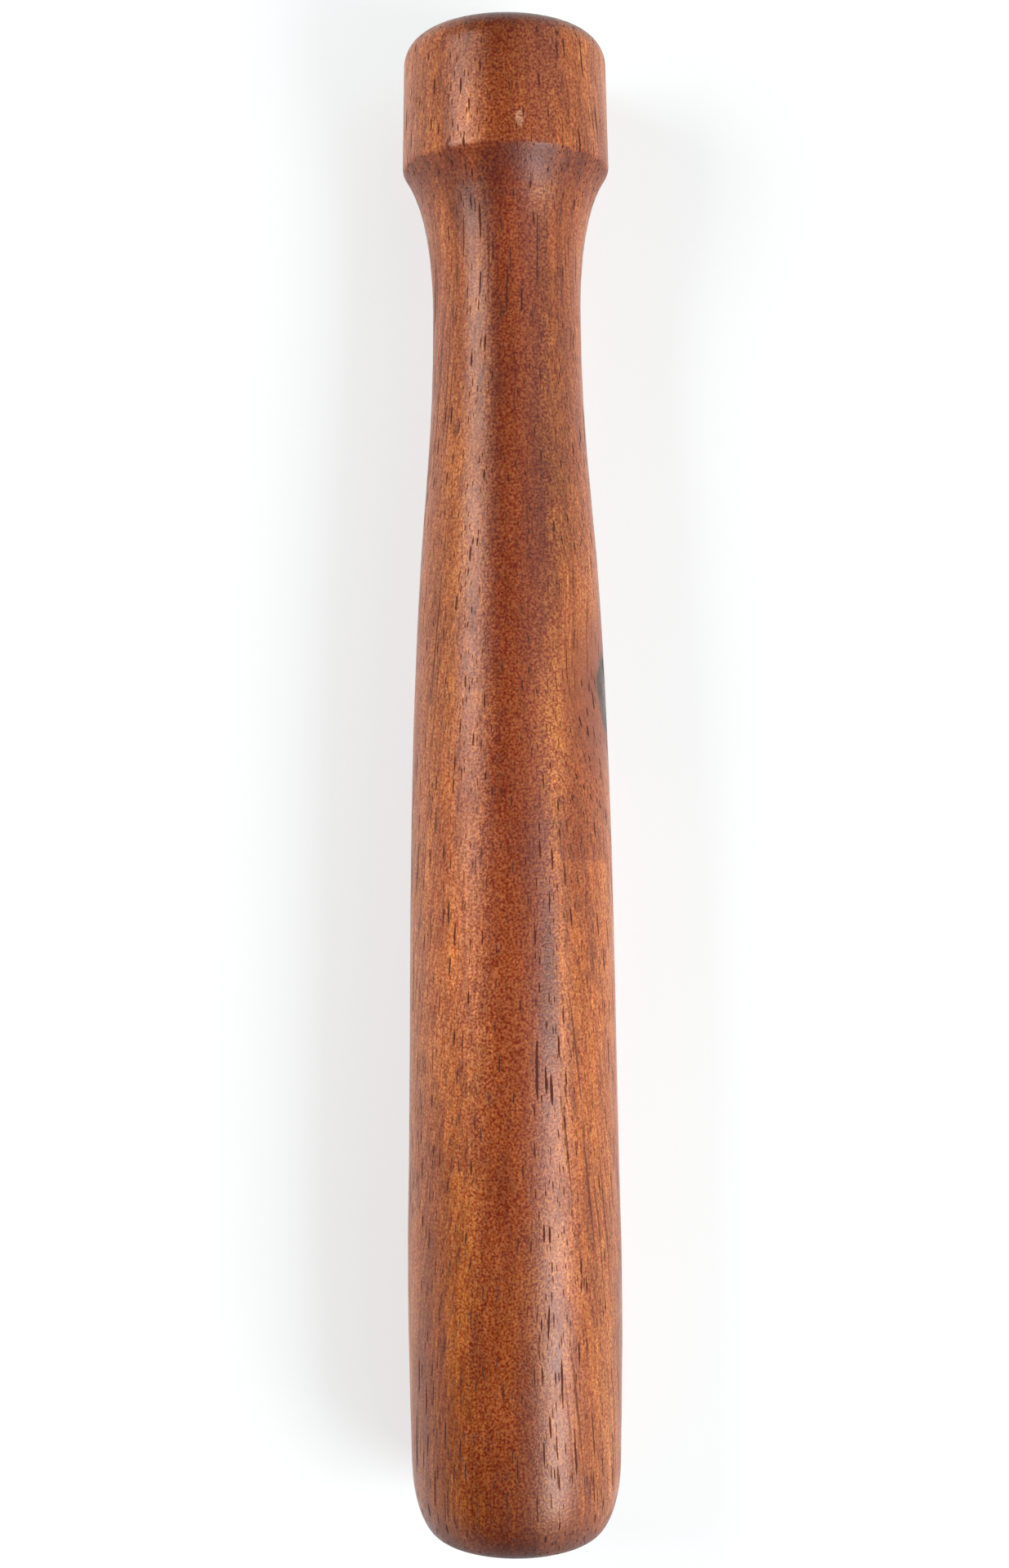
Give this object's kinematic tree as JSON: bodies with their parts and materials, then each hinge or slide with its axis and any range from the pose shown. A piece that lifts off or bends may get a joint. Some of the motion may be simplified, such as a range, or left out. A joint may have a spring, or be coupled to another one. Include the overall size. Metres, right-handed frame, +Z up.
{
  "type": "wooden mallet",
  "caption": "One-piece turned hardwood mallet: a knobbed end, a narrow hollowed grip and a long, slightly swelling striking body with rounded ends.",
  "frame": {"origin": "the mallet lies on its side; the origin is under the middle of its length, on the surface that its fullest diameter touches", "axes": "+X along the axis of turning, from the striking end towards the knob; +Z up; the axis of turning is 19 mm above z = 0"},
  "size_m": [0.264, 0.038, 0.038],
  "materials": {
    "oiled_hardwood": "reddish-brown open-pored hardwood, sanded smooth and oiled to a satin sheen"
  },
  "bodies": {
    "root": {"turned_mallet": "oiled_hardwood"}
  },
  "joints": []
}
